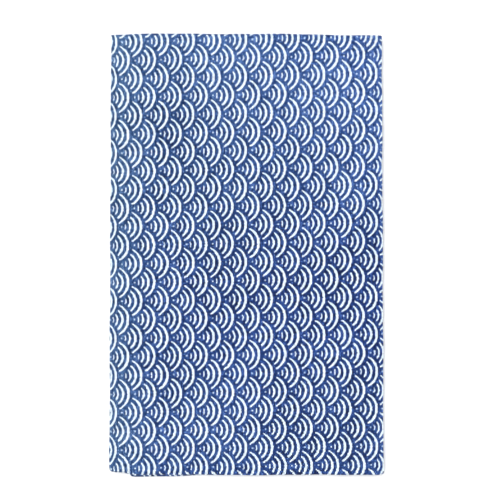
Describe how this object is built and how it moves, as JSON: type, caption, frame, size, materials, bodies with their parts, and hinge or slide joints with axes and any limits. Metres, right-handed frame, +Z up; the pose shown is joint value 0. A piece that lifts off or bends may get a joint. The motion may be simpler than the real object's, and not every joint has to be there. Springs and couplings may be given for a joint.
{
  "type": "folded tenugui towel",
  "caption": "Thin cotton hand towel with a blue and white wave-scale pattern, folded flat in three across and back and forth along its length.",
  "frame": {"origin": "centre of the underside of the folded towel, on the surface it lies on", "axes": "+Z up, out of the printed face; +Y along the folded length, to the top edge of the face; +X to the face's right, the way the arcs' crowns point"},
  "size_m": [0.111, 0.1792, 0.0078],
  "materials": {
    "dyed_cotton": "matt plain-woven cotton, deep blue with undyed white arcs"
  },
  "bodies": {
    "root": {"towel_cloth": "dyed_cotton"}
  },
  "joints": []
}
